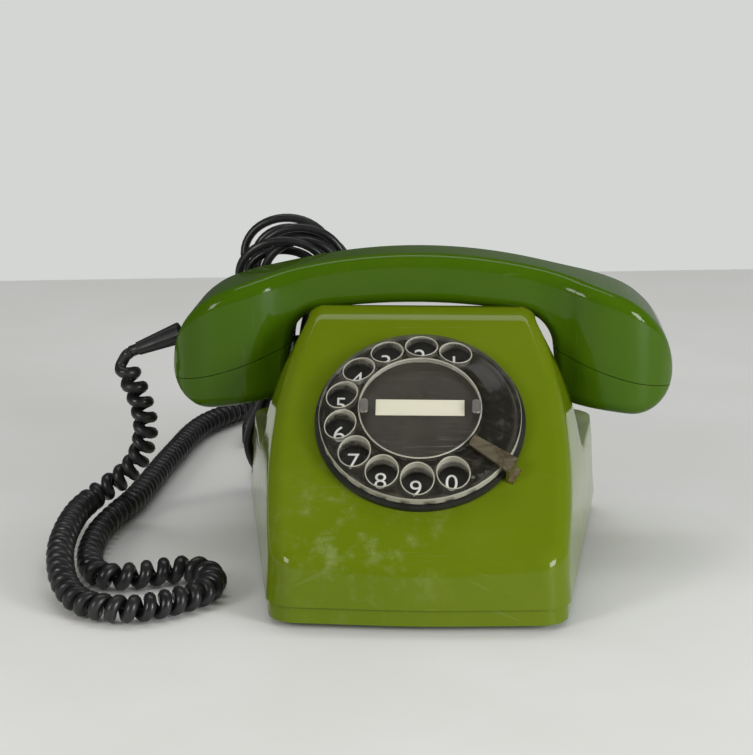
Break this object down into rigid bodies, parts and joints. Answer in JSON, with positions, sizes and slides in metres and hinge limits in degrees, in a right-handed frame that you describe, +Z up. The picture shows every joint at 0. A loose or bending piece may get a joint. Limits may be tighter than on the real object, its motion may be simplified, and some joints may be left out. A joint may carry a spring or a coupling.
{
  "type": "rotary telephone",
  "caption": "Desk telephone with a clear finger wheel on a sloping green housing, a curved handset in a cradle, a curly handset cord and a line cord tied in a hank",
  "frame": {"origin": "on the table under the middle of the telephone, without its free cords", "axes": "+X to the right along the handset, -Y to the front where the dial is, +Z up"},
  "size_m": [0.2562, 0.3467, 0.1327],
  "materials": {
    "housing_plastic": "glossy olive-green moulded plastic with fine scratches",
    "handset_plastic": "glossy deeper olive-green moulded plastic",
    "tray_plastic": "olive-green moulded plastic with a fine grain",
    "black_rubber": "matt black rubber",
    "black_plastic": "satin black plastic",
    "plate_plastic": "black plate with white digits",
    "clear_plastic": "clear plastic, a little yellowed and scratched",
    "card": "blank cream card",
    "stop_metal": "worn plated steel, browned",
    "steel": "plain steel",
    "brass": "plain brass",
    "aluminium": "mill finish aluminium",
    "grey_plastic": "light grey plastic",
    "copper_winding": "enamelled copper winding",
    "board_laminate": "brown laminate",
    "cord_jacket": "black cord jacket"
  },
  "bodies": {
    "base": {"housing_shell": "housing_plastic", "base_tray": "tray_plastic", "rubber_feet": "black_rubber", "housing_screws": "steel", "number_plate": "plate_plastic", "finger_stop": "stop_metal", "dial_frame_front": "aluminium", "dial_frame_rear": "aluminium", "dial_pillars": "brass", "dial_bush": "brass", "dial_screws": "steel", "main_spring": "steel", "governor_cup": "aluminium", "pulse_contacts": "brass", "hook_bracket": "steel", "hook_contacts": "brass", "ringer_frame": "steel", "ringer_coils": "copper_winding", "ringer_magnet": "steel", "gong_low": "brass", "gong_high": "brass", "gong_screws": "steel", "circuit_board": "board_laminate", "induction_coil": "copper_winding", "capacitor": "aluminium", "terminal_block": "black_plastic", "terminal_screws": "brass", "handset_cord_gland": "black_rubber", "line_cord_gland": "black_rubber", "handset_cord": "cord_jacket", "line_cord_lead": "cord_jacket", "line_cord_hank": "cord_jacket", "line_cord_tail": "cord_jacket", "hank_tie": "black_rubber", "line_cord_plug": "black_plastic", "plug_pins": "brass"},
    "dial": {"finger_wheel": "clear_plastic", "label_disc": "black_plastic", "label_card": "card", "label_cover": "clear_plastic", "cover_clips": "steel", "dial_shaft": "steel", "dial_hub": "brass", "main_gear": "brass", "pulse_cam": "black_plastic"},
    "idler": {"idler_arbor": "steel", "idler_gear": "brass"},
    "governor": {"governor_arbor": "steel", "governor_weights": "brass"},
    "clapper": {"clapper": "steel"},
    "hook": {"hook_plungers": "grey_plastic", "hook_crossbar": "black_plastic"},
    "handset": {"handset_shell": "handset_plastic", "ear_cap": "handset_plastic", "mouth_cap": "handset_plastic", "receiver_capsule": "aluminium", "transmitter_capsule": "aluminium", "capsule_contacts": "brass", "handset_cord_boot": "black_rubber"}
  },
  "joints": [
    {"name": "dial_turn", "type": "hinge", "parent": "base", "child": "dial", "pos_m": [0, -0.03242, 0.06674], "axis": [0, 0.6428, -0.766], "range_deg": [0, 315]},
    {"name": "idler_turn", "type": "hinge", "parent": "base", "child": "idler", "pos_m": [-0.01691, -0.02942, 0.0536], "axis": [0, 0.6428, -0.766], "range_deg": [-1575, 0]},
    {"name": "governor_turn", "type": "hinge", "parent": "base", "child": "governor", "pos_m": [-0.02254, -0.02196, 0.05986], "axis": [0, 0.6428, -0.766], "range_deg": [0, 6300]},
    {"name": "clapper_swing", "type": "hinge", "parent": "base", "child": "clapper", "pos_m": [0, 0.0258, 0.0165], "axis": [0, 0, 1], "range_deg": [-3, 3]},
    {"name": "handset_lift", "type": "slide", "parent": "base", "child": "handset", "axis": [0, 0, 1], "range_m": [0, 0.06], "deforming": ["handset_cord"]},
    {"name": "hook_rise", "type": "slide", "parent": "base", "child": "hook", "axis": [0, 0, 1], "range_m": [0, 0.004]}
  ],
  "couplings": [
    {"joint": "idler_turn", "follows": "dial_turn", "ratio": -5},
    {"joint": "governor_turn", "follows": "dial_turn", "ratio": 20},
    {"joint": "hook_rise", "follows": "handset_lift", "ratio": 0.066667}
  ]
}
